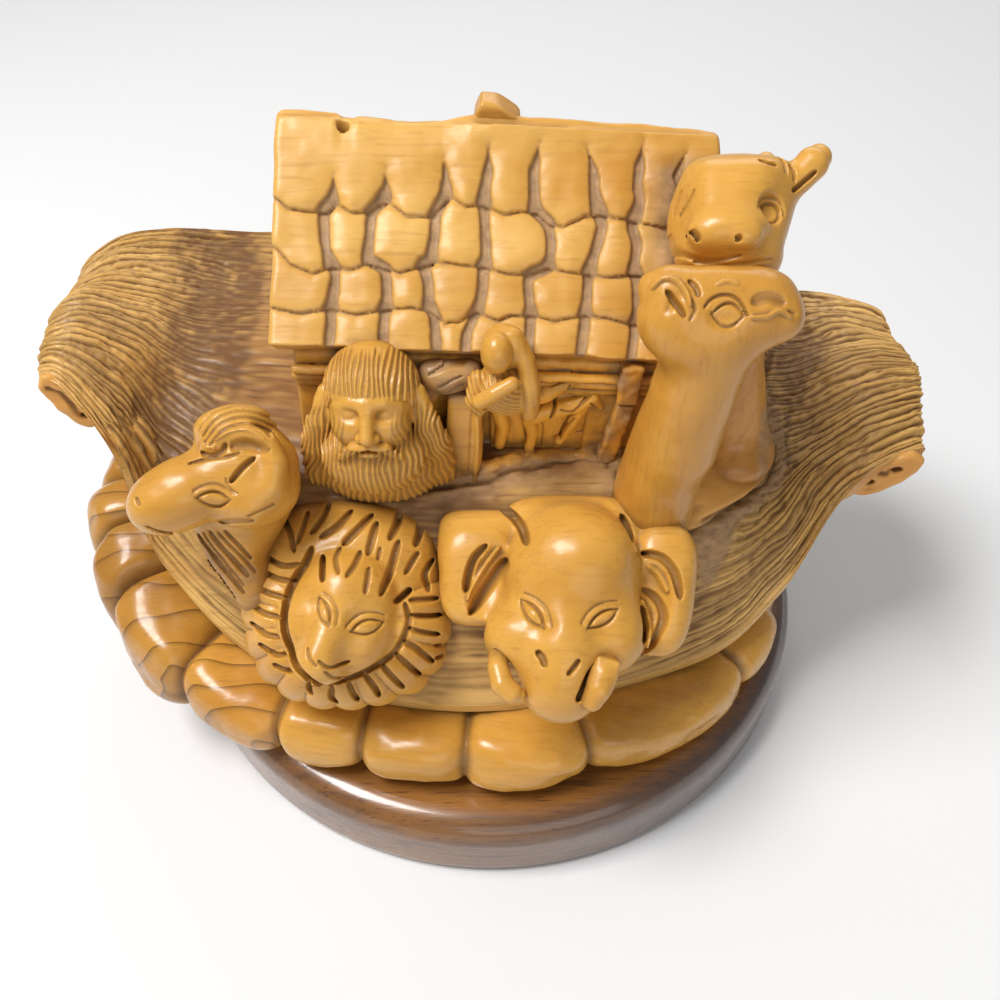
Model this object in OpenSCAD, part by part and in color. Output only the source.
// Carved noah's ark: an olive-wood boat with its house and passengers,
// set in a ring of boulders on a turned base.
// Millimetres. X runs along the boat, Y away from the viewer, Z up.
// The origin is the centre of the base's underside.

/* [Base] */
// Largest diameter of the turned base
base_diameter = 178; // [160:1:200]
// Height of the turned base
base_height = 21; // [16:0.5:26]
// Radius of the base's upper round-over
base_round = 7; // [3:0.5:9]

/* [Boulders] */
// Height of the boulders along the near side
boulder_height = 17; // [14:0.5:22]
// Radial thickness of the boulder ring
boulder_depth = 26; // [20:0.5:30]
// How far the grooves between boulders bite, as a share of the thickness
boulder_groove = 0.2; // [0.1:0.05:0.4]

/* [Boat] */
// Scale of the curled ends' thickness
curl_thickness = 1; // [0.8:0.05:1.2]
// Stations of the hull's loft between two knots of its rails
hull_steps = 3; // [2:1:5]
// Depth of the broad channels carved along the boat
channel_depth = 1.2; // [0:0.1:2]

/* [House] */
// Length of the roof along the boat
roof_length = 94; // [86:1:100]
// Run of one roof slope, measured level
roof_run = 35; // [32:0.5:38]
// Rise of the roof
roof_rise = 33.6; // [30:0.5:36]
// Tilt of the house down to the right, in degrees
house_tilt = 2.6; // [0:0.1:4]
// How far the grooves between shingles wander sideways
shingle_sway = 2.2; // [0:0.1:3]
// Diameter of the drilled hole near the ridge
pin_hole = 2.7; // [2:0.1:4]

/* [Fixings] */
// Diameter of the dowels that hold the house block
dowel_diameter = 6; // [4:0.5:8]
// Shank diameter of the wood screws through the base
screw_diameter = 4; // [3:0.5:5]

/* [Output] */
// Which piece to draw

/* [Hidden] */

honey = [0.80, 0.56, 0.24];
amber = [0.72, 0.46, 0.18];
reed = [0.62, 0.46, 0.25];
walnut = [0.28, 0.16, 0.09];
steel = [0.6, 0.6, 0.6];

base_r = base_diameter / 2;
base_top = base_height;
deck = 87.6;
house_x = 2.6;
ridge_y = 5.5;
ridge_z = 155.1;
eave_y = ridge_y - roof_run;
eave_z = ridge_z - roof_rise;
roof_slope = atan2(roof_rise, roof_run);

// Vectors, splines and lofts

function unit(v) = v / norm(v);
function mix(a, b, t) = a + (b - a) * t;
function clampz(p, z) = [p.x, p.y, max(p.z, z)];

// Point at t on a curve through the knots, t running from 0 to the last knot.
function curve(k, t) =
    let(n = len(k) - 1, i = min(n - 1, max(0, floor(t))), u = t - i,
        a = k[max(0, i - 1)], b = k[i], c = k[i + 1], d = k[min(n, i + 2)])
    0.5 * (2 * b + (c - a) * u + (2 * a - 5 * b + 4 * c - d) * u * u
        + (3 * b - a - 3 * c + d) * u * u * u);

// Closed solid of triangles, turned so that its faces look outward.
function turns(pts, faces) =
    [for (f = faces) cross(pts[f[1]], pts[f[2]]) * pts[f[0]]] * [for (f = faces) 1];
module closed(pts, faces) {
    middle = pts[len(pts) - 1];
    at = [for (p = pts) p - middle];
    out = turns(at, faces) > 0;
    polyhedron(pts, out ? [for (f = faces) [f[0], f[2], f[1]]] : faces, convexity = 8);
}

// Closed solid through rings that have one number of points each.
module loft(rings) {
    n = len(rings[0]);
    m = len(rings);
    function mean(r, i = 0) = i == len(r) - 1 ? r[i] : r[i] + mean(r, i + 1);
    pts = concat([for (r = rings, p = r) p],
        [mean(rings[0]) / n, mean(rings[m - 1]) / n]);
    side = [for (j = [0:m - 2], i = [0:n - 1])
        let(a = j * n + i, b = j * n + (i + 1) % n)
        each [[a, b, b + n], [a, b + n, a + n]]];
    caps = [for (i = [0:n - 1])
        let(o = (m - 1) * n)
        each [[m * n, (i + 1) % n, i], [m * n + 1, o + i, o + (i + 1) % n]]];
    closed(pts, concat(side, caps));
}

// How far a ray along d from the middle of a form reaches in one ellipsoid [centre, radii, turn].
function reach(d, lobe) =
    let(t = len(lobe) > 2 ? lobe[2] : 0, c = cos(t), s = sin(t),
        o = [-lobe[0].x * c - lobe[0].y * s, lobe[0].x * s - lobe[0].y * c, -lobe[0].z],
        e = [d.x * c + d.y * s, -d.x * s + d.y * c, d.z],
        r = lobe[1],
        p = [o.x / r.x, o.y / r.y, o.z / r.z],
        q = [e.x / r.x, e.y / r.y, e.z / r.z],
        a = q * q, b = p * q, k = p * p - 1, disc = b * b - a * k)
    disc <= 0 ? 0 : max(0, (-b + sqrt(disc)) / a);

function blended(v, e, i = 0, sum = 0) =
    i == len(v) ? pow(sum, 1 / e) : blended(v, e, i + 1, sum + pow(v[i], e));

// Smoothly blended body of lobes, drawn as a grid around the x axis.
module blend(lobes, around = 24, along = 14, sharp = 9) {
    rings = [for (j = [1:along - 1])
        let(f = 180 * j / along)
        [for (i = [0:around - 1])
            let(g = 360 * i / around, d = [cos(f), sin(f) * cos(g), sin(f) * sin(g)])
            d * blended([for (l = lobes) reach(d, l)], sharp)]];
    n = around;
    m = along - 1;
    head = [1, 0, 0] * blended([for (l = lobes) reach([1, 0, 0], l)], sharp);
    tail = [-1, 0, 0] * blended([for (l = lobes) reach([-1, 0, 0], l)], sharp);
    pts = concat([for (r = rings, p = r) p], [head, tail]);
    side = [for (j = [0:m - 2], i = [0:n - 1])
        let(a = j * n + i, b = j * n + (i + 1) % n)
        each [[a, b + n, b], [a, a + n, b + n]]];
    caps = [for (i = [0:n - 1])
        let(o = (m - 1) * n)
        each [[m * n, i, (i + 1) % n], [m * n + 1, o + (i + 1) % n, o + i]]];
    closed(pts, concat(side, caps));
}

// A limb, ear or tusk swept through [centre, radius] pairs.
module limb(beads, fn = 10) {
    for (i = [0:len(beads) - 2]) {
        hull() {
            translate(beads[i][0]) sphere(beads[i][1], $fn = fn);
            translate(beads[i + 1][0]) sphere(beads[i + 1][1], $fn = fn);
        }
    }
}

// A dished ear on the ellipse rx by ry: back, rim and hollow.
module dished(p, turn, rx, ry, thick, hollow, n = 14) {
    steps = [[0.5, -thick], [0.9, -thick * 0.75], [1.03, -thick * 0.15], [0.98, thick * 0.3],
        [0.82, thick * 0.34], [0.6, -hollow * 0.6], [0.25, -hollow]];
    translate(p) rotate(turn)
        loft([for (s = steps)
            [for (i = [0:n - 1])
                let(a = 360 * i / n)
                [rx * s[0] * cos(a), ry * s[0] * sin(a), s[1]]]]);
}

// A small lens-shaped eye in its lids.
module eye(p, turn = 0, size = 1) {
    translate(p) rotate([0, 0, turn]) scale([2 * size, 1.1 * size, 0.9 * size])
        sphere(1, $fn = 10);
}

// Puts a figure at p, leaning back so that it looks up and out of the boat.
// 90 is upright, 0 lies on its back.
lean = 43.4;
module leaning(p, stance = lean) {
    translate(p) rotate([stance, 0, 0]) children();
}

// Boat

// Rails of the hull from the left tip to the right tip.
rail_front = [[-96.4, -22, 96], [-102, -21, 104.5], [-95.5, -24, 106], [-86, -31, 92],
    [-79, -40, 62], [-52, -55, 42], [-3, -66, 42], [51, -52.5, 42], [73, -40, 54],
    [83, -32, 75], [92, -27, 83.5], [104.5, -22, 85.5], [97.6, -24, 74.5]];
rail_shoulder = [[-95, -11, 98], [-105, -10, 105], [-98, -11, 109], [-87, -14, 102],
    [-76, -21, 88], [-50, -36, 86], [0, -39, 86.5], [48, -35, 84], [68, -25, 78],
    [80, -17, 80], [93, -13, 89], [106, -9, 90], [99, -10, 78]];
rail_middle = [[-95, 3, 98], [-106, 3, 105], [-99, 4, 110], [-87, 4, 105],
    [-73, 3, 97], [-48, 2, 95], [0, 2, 89], [46, 2, 88.5], [64, 2, 84],
    [79, 2, 84], [94, 3, 92], [108, 3, 91], [100, 3, 80]];
rail_back = [[-95, 25, 99], [-104, 23, 106], [-97, 32, 109.5], [-86, 39, 108],
    [-71, 43, 105], [-46, 47, 101], [0, 51, 97], [46, 49, 92], [64, 44, 89],
    [79, 39, 89], [93, 32, 92], [105, 24, 91], [97, 21, 80]];
rail_keel = [[-93, 3, 100], [-100, 3, 103], [-96, 4, 103], [-80, 4, 94],
    [-64, 3, 70], [-44, 2, 26], [0, 2, 14], [42, 2, 20], [60, 2, 48],
    [74, 2, 70], [91, 3, 83], [102, 3, 87], [98, 3, 83]];
edge_depth = [2, 6.5, 7.5, 4, 3, 3, 3, 3, 3, 4, 8, 7.5, 2];
// Broad channels along the carved top, and how much of their depth each stop keeps.
channels = 10;
channel_share = [0, 1, 1, 1, 0.7, 0.5, 0.6, 0.6, 0.8, 1, 1, 1, 0];

function hull_ring(t) =
    let(f = curve(rail_front, t), s = curve(rail_shoulder, t), m = curve(rail_middle, t),
        b = curve(rail_back, t), u = curve(rail_keel, t),
        e = curve(edge_depth, t) * curl_thickness,
        inw = unit(u - m), f2 = f + inw * e, b2 = b + inw * e,
        top = [f, s, m, mix(m, b, 0.52) + [0, 0, -1.5], b],
        low = (f2 + b2) / 2, sunk = channel_depth * curve(channel_share, t))
    concat([for (i = [0:2 * channels])
            let(q = curve(top, 2 * i / channels))
            q + unit(u - q) * (i % 2 == 1 ? sunk : 0)],
        [for (i = [0:8])
            let(w = 1 - i / 4, k = 1 - pow(abs(w), 3))
            clampz(mix(low, w > 0 ? b2 : f2, abs(w)) + (u - low) * k, base_top)]);

module hull_body() {
    last = (len(rail_front) - 1) * hull_steps;
    loft([for (i = [0:last]) hull_ring(i / hull_steps)]);
}

// Boulders

// Middle line of the ring as [x, y, height], from behind the left end, round the near side.
ring_knots = [[-84, 28, 32], [-98, 2, 38], [-92, -24, 36], [-79, -43, 26],
    [-57, -56, 19], [-30, -63, 17], [6, -67, 17], [35, -59, 17], [56, -45, 16],
    [66, -24, 17], [64, 8, 20], [40, 34, 26], [0, 42, 26], [-46, 40, 28]];
// Where one boulder meets the next, counted in knots around the ring.
left_joints = [0.5, 1.2, 1.75, 2.4, 3.35, 4.3];
front_joints = [4.3, 5, 5.68, 6.5, 8.1, 8.9];
rear_joints = [8.9, 9.8, 10.7, 11.6, 12.4, 13.2, 14.5];

function ring_at(t) =
    let(n = len(ring_knots), i = floor(t), u = t - i,
        a = ring_knots[(i + n - 1) % n], b = ring_knots[i % n],
        c = ring_knots[(i + 1) % n], d = ring_knots[(i + 2) % n])
    0.5 * (2 * b + (c - a) * u + (2 * a - 5 * b + 4 * c - d) * u * u
        + (3 * b - a - 3 * c + d) * u * u * u);
function ring_out(t) =
    let(p = ring_at(t + 0.05) - ring_at(t - 0.05)) unit([p.y, -p.x, 0]);

function boulder_ring(t, f) =
    let(q = ring_at(t), n = ring_out(t), p = 1 - boulder_groove * pow(abs(2 * f - 1), 7),
        h = q.z * boulder_height / 34)
    [for (i = [0:11])
        let(a = 360 * i / 12 + 15, c = cos(a), s = sin(a),
            inner = c < 0 ? 1 + 1.5 * pow(max(0, q.y / 44), 0.5) : 1,
            r = boulder_depth / 2 * p * sign(c) * pow(abs(c), 0.6) * inner,
            z = base_top + h + h * p * sign(s) * pow(abs(s), 0.6))
        clampz([q.x, q.y, z] + n * r, base_top)];

module boulders(joints) {
    parts = [0, 0.1, 0.5, 0.9];
    stops = concat([for (k = [0:len(joints) - 2], f = parts) [k, f]],
        [[len(joints) - 2, 1]]);
    loft([for (s = stops)
        boulder_ring(mix(joints[s[0]], joints[s[0] + 1], s[1]), s[1])]);
}

// Animals and people

// Points below are millimetres right, up and out of each head's own middle.
lion_at = [-33, -57, 69];
elephant_at = [17.3, -61, 73.5];
donkey_at = [-56, -46, 99];
giraffe_at = [45, -40, 138];
calf_at = [49.5, -20, 147.5];
bust_at = [-24.5, -36, 111];
woman_at = [1.9, -33.5, 123.4];

// Mane: a domed disc whose rim is scalloped into locks.
mane_locks = 12;
mane_levels = [[-21, 16], [-14, 19.5], [-7, 22], [-2, 22], [3, 19], [7, 14.5]];
module mane() {
    n = 3 * mane_locks;
    loft([for (k = [0:len(mane_levels) - 1])
        let(l = mane_levels[k], e = 0.055 * min(1, k / 2))
        [for (i = [0:n - 1])
            let(a = 360 * i / n, r = l[1] * (1 + e * cos(mane_locks * a + 40 * k)))
            [r * cos(a), r * 1.02 * sin(a) + 0.6, l[0]]]]);
}

module lion_solid() {
    leaning(lion_at) {
        mane();
        rotate([0, 0, -20]) {
            translate([0, -2, 6])
                blend([[[0, 0, 0], [13, 15.5, 10]], [[0, 6, 3], [9, 8, 8]],
                    [[0, -9.5, 5], [6.5, 5.5, 7]], [[-5.5, -5.5, 3], [5.5, 6, 6]],
                    [[5.5, -5.5, 3], [5.5, 6, 6]], [[0, 0, 4], [3, 9, 8.5]]], 20, 12);
            for (side = [-1, 1]) {
                eye([side * 5, 0.6, 15], side * 18);
                // low round ear
                hull() {
                    translate([side * 8.6, 9, 9]) sphere(2.4, $fn = 8);
                    translate([side * 10.6, 10.6, 7.5]) sphere(2.2, $fn = 8);
                }
                // locks that hang beside the cheeks
                limb([[[side * 13, 5, 6], 3], [[side * 14.6, -2, 6.5], 3],
                    [[side * 12.4, -10, 6], 2.8], [[side * 7, -15.6, 5], 2.4]], 7);
            }
        }
    }
}

module elephant_solid() {
    leaning(elephant_at) {
        blend([[[3, 4, 0], [15, 15.5, 13]], [[0, 2, -14], [17, 17, 13]],
            [[5, 10, 4], [11, 9, 9]], [[-1, -8, 5], [11, 10, 9]],
            [[-3, -16, 7], [8.5, 7, 7.5]], [[-10, 0, 5], [5, 6, 6]],
            [[9, -2, 5], [5, 6, 6]]], 22, 13);
        dished([-20.5, 9, -1], [0, -14, 12], 8.8, 12.6, 5, 3);
        dished([21, 6.5, -1], [0, 14, -8], 8.2, 13.4, 5, 3);
        eye([-7.6, -2, 10.6], 12);
        eye([7.6, -3.2, 10], -8);
        // folds that tie the ears to the brow
        limb([[[-12, 17, 2], 3.2], [[-18, 20, 0], 3], [[-24, 18, -1], 2.6]], 6);
        limb([[[13, 17, 2], 3.2], [[19, 19, 0], 3], [[24, 16, -1], 2.6]], 6);
        limb([[[-13, 6, 2], 3.4], [[-13.5, -1, 2], 3.2], [[-12, -8, 3], 3]], 6);
        limb([[[14, 4, 2], 3.4], [[14, -2, 2], 3.2], [[11, -9, 3], 3]], 6);
    }
}

module tusks_solid() {
    leaning(elephant_at) {
        limb([[[-8, -8, 8], 3], [[-11, -12, 11], 3], [[-12, -16, 12], 2.8],
            [[-12.2, -18.6, 11.6], 2.7], [[-12, -20.6, 11], 2.2]], 9);
        limb([[[4, -8, 10], 3], [[6, -12, 13], 3], [[7, -16, 13.5], 2.8],
            [[7.1, -18.6, 12.8], 2.7], [[7, -20.6, 12], 2.2]], 9);
    }
}

module donkey_solid() {
    leaning(donkey_at) {
        blend([[[-13, -7, 2], [6.5, 6, 6]], [[-6.5, -3, 3], [9, 8, 8], 30],
            [[3, 1, 1], [13, 11.5, 10], 30], [[6.5, -4, 0], [9, 8, 9]],
            [[9, 8, -1], [9, 8, 8]]], 20, 14);
        eye([-2.6, -3.4, 10], 12);
        limb([[[0, 9, 4], 3.2], [[5, 12, 5], 3.4], [[10, 11, 5], 3.2],
            [[13, 6, 4], 3], [[12.6, 3, 4.6], 2.8], [[12, 0, 5], 2.6]], 7);
        limb([[[4, 0, -6], 11], [[0, -9, -10], 9.6], [[-0.5, -15, -12], 7.6],
            [[2.8, -25, -14], 4.6]], 11);
    }
}

module giraffe_head_solid() {
    leaning(giraffe_at) {
        blend([[[10, 0, 1], [5.5, 5.8, 5.5]], [[3.8, -0.6, 0], [9, 7.4, 7]],
            [[-4, 0, 0], [10, 8, 8]], [[-2, -6, -2], [10.5, 6, 8]]], 18, 14);
        limb([[[-6, 2, 1], 5], [[-11, 2.6, 2], 4.4], [[-14.6, 3.6, 1], 2.4]], 7);
        limb([[[-6, 2, 1], 4], [[-7, 3.5, -9], 3.6], [[-8.5, 4.5, -13], 2]], 7);
        eye([0.8, -0.4, 7.2], 8);
        // heavy upper lip and cheek
        limb([[[13, 1, 1], 3], [[13.6, -2, 1], 2.6], [[10, -4, 1], 3]], 7);
        // brow over the eye
        limb([[[-2, 1.6, 6.6], 1.2], [[1, 2.4, 6.8], 1.2], [[4, 1.4, 6.4], 1.1]], 6);
    }
}

// The neck leans to the right and tapers, then widens into the block at its foot.
giraffe_spine = [[37, -38, 78], [38, -38.5, 92], [40, -39, 108], [42.5, -39.5, 122],
    [44, -39, 132]];
giraffe_width = [11, 10, 9.2, 9.2, 8];
module giraffe_neck_solid() {
    loft([for (j = [0:12])
        let(t = j / 3, c = curve(giraffe_spine, t), r = curve(giraffe_width, t))
        [for (i = [0:17])
            let(a = 20 * i)
            c + [r * cos(a), r * 0.95 * sin(a), r * 0.25 * sin(a)]]]);
}

calf_spine = [[60, -19, 72], [58.5, -18, 90], [56, -18, 108], [53, -18, 126],
    [51, -17, 142]];
calf_width = [10.5, 10, 9.5, 9.5, 8.5];
module calf_neck_solid() {
    loft([for (j = [0:12])
        let(t = j / 3, c = curve(calf_spine, t), r = curve(calf_width, t))
        [for (i = [0:15])
            let(a = 22.5 * i)
            c + [r * cos(a), r * 0.9 * sin(a), r * 0.2 * sin(a)]]]);
}

// Skull corners of the calf: a flat forehead, a flat cheek and a blunt muzzle.
calf_skull = [[[-7.5, 6.6, 2], 3.4], [[1, 7.2, 4.4], 3.2], [[8, 3.8, -2], 3.8],
    [[3.2, -8.6, -2], 4.4], [[-8.4, 0, 2.6], 3.2], [[-7.6, -5.4, 6], 3.2],
    [[-1, -5.6, 7.6], 3.2], [[0, 0, -6], 6.5]];
module calf_head_solid() {
    leaning(calf_at) {
        hull() {
            for (b = calf_skull) translate(b[0]) sphere(b[1], $fn = 14);
        }
        limb([[[7, 5, 0], 2.8], [[11, 6.8, 0], 3.2], [[14.6, 9.4, 0], 3.5],
            [[16, 10.6, 0], 2.9]], 7);
        limb([[[-5, 8, 0], 2.6], [[-8, 9.4, -1], 2.4]], 7);
        limb([[[4, 7, -1], 2.4], [[5.6, 9.6, -2], 2.2]], 7);
        limb([[[-7.6, -5.8, 6.4], 3], [[-4, -6.8, 8], 3.2], [[-0.6, -6.2, 8], 3]], 8);
        eye([7, 0, 4.6], -20, 1.1);
        eye([-9.6, 2.4, 4.6], 60);
    }
}

module bust_solid() {
    difference() {
        leaning(bust_at, 66) {
            blend([[[0, 1, 2], [8.6, 11, 9]], [[0, 4, -1], [10.6, 9.5, 10.6]],
                [[0, -9, -1], [11.5, 9, 8]], [[0, -15, -9.5], [15, 11, 7.5]],
                [[0, -16, -13], [14, 14, 6]]], 20, 14);
            for (side = [-1, 1]) {
                // hair that falls beside the face
                limb([[[side * 8.6, 6, 1], 2.4], [[side * 10.5, -3, 0], 3],
                    [[side * 12.5, -12, -4], 3.2], [[side * 13.5, -20, -10], 3]], 7);
            }
            limb([[[0, 1, 10], 1.3], [[0, -2.4, 11.6], 1.7]], 8);
            limb([[[-4, -4.4, 9], 1.5], [[0, -3.8, 10], 1.7], [[4, -4.4, 9], 1.5]], 8);
        }
        translate([-60, -80, deck - 30]) cube([80, 80, 29]);
    }
}

module woman_solid() {
    difference() {
        leaning(woman_at, 80) {
            blend([[[0, 0, 0], [4.7, 5.2, 4.6]]], 12, 8);
            translate([0, -10, 0])
                blend([[[1.2, 1, -1], [6.3, 5.2, 6]], [[3.2, -2, -2.2], [6, 4.6, 5.4]]], 14, 12);
            limb([[[5, -7, 2], 2], [[1, -10, 5], 1.8], [[-4, -8.5, 5], 1.6]], 7);
            // headscarf down the right side, sleeve down the left
            limb([[[-4, -6, 0], 2.4], [[-5, -10, 2], 2.2], [[-3.8, -13, 2.2], 1.8]], 7);
            limb([[[3, 2, -2], 2.6], [[6, -3, -1], 2.4], [[7, -10, 1], 2.2],
                [[6.8, -14, 1.4], 1.9]], 7);
        }
        translate([-20, -60, deck - 30]) cube([40, 60, 29]);
    }
}

// House

module tilted() {
    translate([house_x, 0, ridge_z]) rotate([0, house_tilt, 0])
        translate([-house_x, 0, -ridge_z]) children();
}

wall_x = [-40, 45];
wall_y = [-27, 34];
// Height of the roof's underside over a point of the walls.
function gable(y) =
    let(foot = slope_at(1, 1, -4))
    ridge_z - 12 + (foot.y - ridge_z + 12) / (foot.x - ridge_y) * abs(y - ridge_y);

module wall_solid() {
    difference() {
        tilted() {
            translate([wall_x[0], 0, 0]) rotate([90, 0, 90])
                linear_extrude(wall_x[1] - wall_x[0])
                    polygon([[wall_y[0], deck - 10], [wall_y[1], deck - 10],
                        [wall_y[1], gable(wall_y[1])], [ridge_y, gable(ridge_y)],
                        [wall_y[0], gable(wall_y[0])]]);
            // stepped moulding under the eave
            for (k = [0:2]) {
                translate([wall_x[0], wall_y[0] - 3 + k, eave_z - 8.2 - 2.2 * k])
                    cube([wall_x[1] - wall_x[0], 4, 2.2]);
            }
            // sill along the foot of the wall, broad in front of the doorway
            translate([0, 0, deck - 4]) linear_extrude(6.4)
                polygon([[wall_x[0], wall_y[0] + 1.5], [wall_x[0], wall_y[0] - 2.5],
                    [-1, wall_y[0] - 2.5], [0, -34.6], [3, -34.4], [10, -31.6], [19, wall_y[0] - 2.7],
                    [wall_x[1], wall_y[0] - 2.5], [wall_x[1], wall_y[0] + 1.5]]);
        }
        translate([-60, -60, deck - 40]) cube([120, 120, 36]);
        // doorway recess beside the pale jamb
        translate([0, wall_y[0] - 1, deck + 2.5]) cube([24, 5, 17]);
    }
}

// Roof in section: each slope steps up once per course of shingles.
courses = [0, 0.38, 0.62, 0.82, 1];
function slope_at(side, f, off) =
    let(u = [side * roof_run, -roof_rise], n = [side * roof_rise, roof_run] / norm([roof_run, roof_rise]))
    [ridge_y, ridge_z - 2.6] + u * f + n * off;
function slope_steps(side) =
    [for (k = [0:len(courses) - 2])
        each [slope_at(side, courses[k] + 0.02, k == 0 ? 2 : 0.4),
            slope_at(side, mix(courses[k], courses[k + 1], 0.55), 2.1),
            slope_at(side, courses[k + 1] - 0.01, 1.7)]];
function reversed(v) = [for (i = [len(v) - 1:-1:0]) v[i]];

module roof_profile() {
    polygon(concat([[ridge_y - 2.5, ridge_z], [ridge_y + 2.5, ridge_z]],
        slope_steps(1), [slope_at(1, 1, -4)],
        [[ridge_y, ridge_z - 12]],
        [slope_at(-1, 1, -4)], reversed(slope_steps(-1))));
}

// Grooves between the shingle columns, as shares of the roof's length.
column_edges = [0.135, 0.25, 0.38, 0.477, 0.59, 0.706, 0.82, 0.92];

// One groove across one course of shingles.
module shingle_groove(x, side, k, sway) {
    a = slope_at(side, k == 0 ? 0.16 : courses[k], 2.4);
    b = slope_at(side, courses[k + 1], 2.4);
    long = norm(b - a) + 0.6;
    translate([x, (a.x + b.x) / 2, (a.y + b.y) / 2])
        rotate([side * -roof_slope, 0, 0]) rotate([0, 0, sway])
            rotate([90, 0, 0]) translate([0, 0, -long / 2])
                linear_extrude(long) polygon([[-1.1, 1], [1.1, 1], [0.35, -1.9], [-0.35, -1.9]]);
}

module roof_solid() {
    left = house_x - roof_length / 2;
    tilted() difference() {
        translate([left, 0, 0]) rotate([90, 0, 90]) linear_extrude(roof_length) roof_profile();
        for (side = [-1, 1], c = [0:len(column_edges) - 1], k = [0:3]) {
            shingle_groove(left + roof_length * column_edges[c]
                + shingle_sway * (sin(137 * c + 83 * k) - 0.4) * (k == 0 ? 0.3 : 0.7),
                side, k, 6 * sin(101 * c + 190 * k));
        }
        // drilled hole near the left end of the ridge
        translate([-30, ridge_y - 2, ridge_z - 14]) cylinder(d = pin_hole, h = 20, $fn = 32);
    }
}

module knob_solid() {
    translate([1, ridge_y + 4.5, ridge_z - 9.5]) {
        hull() {
            cylinder(r = 4.6, h = 3, $fn = 9);
            translate([-0.6, -0.4, 9.6]) sphere(1.7, $fn = 9);
            translate([3.2, 0.6, 7.6]) sphere(1.4, $fn = 9);
        }
    }
}

module jamb_solid() {
    tilted() {
        hull() {
            translate([-6.8, -32, deck + 20]) cube([8, 6, 2]);
            translate([-7, -36, deck - 1]) cube([8.4, 10, 2]);
        }
        translate([-10.5, -31, deck + 18]) {
            hull() {
                translate([0, 1, 2]) sphere(3, $fn = 10);
                translate([8.5, 2, 8]) sphere(3.4, $fn = 10);
                translate([0, 2, 8]) sphere(3.4, $fn = 10);
            }
        }
    }
}

// Two beasts in relief on the wall: one looks out above the other's back.
module relief_solid() {
    difference() {
        union() {
            limb([[[8.6, -28, 106.4], 2.8], [[12.6, -28.6, 108.2], 3], [[16, -29, 110], 2],
                [[18.4, -29.2, 111.4], 1.7]], 8);
            limb([[[10.6, -28.6, 101], 3.2], [[14.6, -28.8, 102.2], 2.6], [[20.4, -28.6, 104], 2.3],
                [[23.6, -28.2, 106.2], 1.9], [[25.4, -27.8, 104.6], 1.5]], 8);
            limb([[[9.4, -29, 101], 2], [[10.2, -29.4, 96], 1.7], [[9.8, -29.4, 89], 1.8]], 7);
            limb([[[21.4, -28.8, 103.6], 1.7], [[18.9, -29, 99.2], 1.5], [[17, -29.2, 94], 1.4]], 7);
        }
        tilted() translate([-60, wall_y[0] - 0.4, 60]) cube([120, 40, 80]);
        tilted() translate([-60, wall_y[0] - 3, eave_z - 10.2]) cube([120, 40, 80]);
    }
}

module bracket_solid() {
    tilted() {
        translate([30, -30.6, 108]) cube([5, 3.8, 8]);
        hull() {
            translate([30.4, -30, 104]) cube([4.2, 3.2, 3.4]);
            translate([28, -29.4, 89.6]) cube([4, 2.6, 3]);
        }
        translate([30.8, -29.6, 107]) cube([3.4, 2.6, 2]);
    }
}

// Fixings

screw_spots = [[-30, -12], [30, -12], [0, 24]];
module screws(grow = 0) {
    for (s = screw_spots) {
        translate([s.x, s.y, 0]) {
            translate([0, 0, 3 - grow]) cylinder(d = 9 + 2 * grow, h = 1.2 + grow, $fn = 32);
            translate([0, 0, 4.2]) cylinder(d1 = 9 + 2 * grow, d2 = screw_diameter, h = 2.4, $fn = 32);
            translate([0, 0, 6.6]) cylinder(d = screw_diameter, h = 20, $fn = 32);
            translate([0, 0, 26.6]) cylinder(d1 = screw_diameter, d2 = 0.8, h = 6, $fn = 32);
        }
    }
}

dowel_spots = [[-26, 6], [30, 6]];
module dowels() {
    for (s = dowel_spots) {
        translate([s.x, s.y, 70]) cylinder(d = dowel_diameter, h = 34, $fn = 32);
    }
}

// Pieces

module turned_base() {
    color(walnut) difference() {
        rotate_extrude($fn = 120) {
            difference() {
                square([base_r, base_height]);
                translate([base_r - base_round, base_height - base_round]) difference() {
                    square(base_round + 1);
                    circle(base_round, $fn = 60);
                }
                translate([base_r - 3, -1]) difference() {
                    square([4, 4]);
                    translate([0, 4]) circle(3, $fn = 40);
                }
            }
        }
        screws();
        for (s = screw_spots) {
            translate([s.x, s.y, -1]) cylinder(d = 9, h = 4.2, $fn = 32);
        }
    }
}

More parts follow.
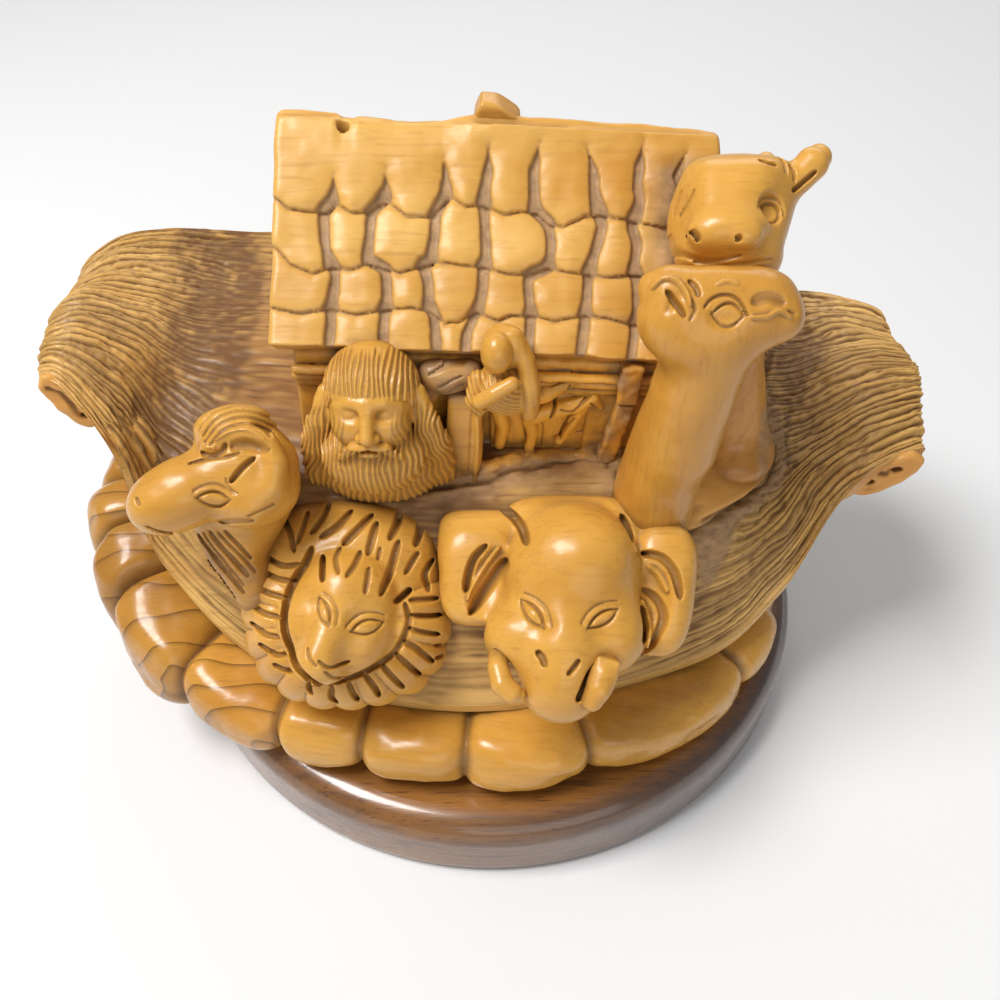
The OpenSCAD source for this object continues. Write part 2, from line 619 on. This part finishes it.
module base_screws() {
    color(steel) difference() {
        screws();
        for (s = screw_spots) {
            translate([s.x, s.y, 2.5]) {
                translate([-3.2, -0.6, 0]) cube([6.4, 1.2, 2]);
                translate([-0.6, -3.2, 0]) cube([1.2, 6.4, 2]);
            }
        }
    }
}

module boulders_left() {
    color(amber) group_cut() {
        boulders(left_joints);
    }
}

module boulders_front() {
    color(honey) group_cut() {
        boulders(front_joints);
    }
}

module boulders_rear() {
    color(honey) group_cut() {
        boulders(rear_joints);
    }
}

// Cuts what the boat and the heads over the side take from the boulders.
module group_cut() {
    difference() {
        children();
        hull_body();
        lion_solid();
        elephant_solid();
        tusks_solid();
        screws();
    }
}

module hull_boat() {
    color(reed) difference() {
        hull_body();
        lion_solid();
        elephant_solid();
        donkey_solid();
        giraffe_neck_solid();
        calf_neck_solid();
        bust_solid();
        woman_solid();
        wall_solid();
        dowels();
        screws();
    }
}

module house_dowels() {
    color(amber) dowels();
}

module house_walls() {
    color(honey) difference() {
        wall_solid();
        dowels();
    }
}

module roof() {
    color(honey) roof_solid();
}

module ridge_knob() {
    color(honey) knob_solid();
}

module door_jamb() {
    color(honey) jamb_solid();
}

module wall_relief() {
    color(honey) relief_solid();
}

module corner_bracket() {
    color(honey) bracket_solid();
}

module bearded_bust() {
    color(honey) bust_solid();
}

module robed_woman() {
    color(honey) woman_solid();
}

module donkey_head() {
    color(honey) donkey_solid();
}

module lion_head() {
    color(honey) lion_solid();
}

module elephant_head() {
    color(honey) difference() {
        elephant_solid();
        tusks_solid();
    }
}

module elephant_tusks() {
    color(honey) tusks_solid();
}

module giraffe_neck() {
    color(honey) giraffe_neck_solid();
}

module giraffe_head() {
    color(honey) giraffe_head_solid();
}

module calf_neck() {
    color(amber) calf_neck_solid();
}

module calf_head() {
    color(honey) calf_head_solid();
}

turned_base();
base_screws();
boulders_left();
boulders_front();
boulders_rear();
hull_boat();  // hull
house_dowels();
house_walls();
roof();
ridge_knob();
door_jamb();
wall_relief();
corner_bracket();
bearded_bust();
robed_woman();
donkey_head();
lion_head();
elephant_head();
elephant_tusks();
giraffe_neck();
giraffe_head();
calf_neck();
calf_head();
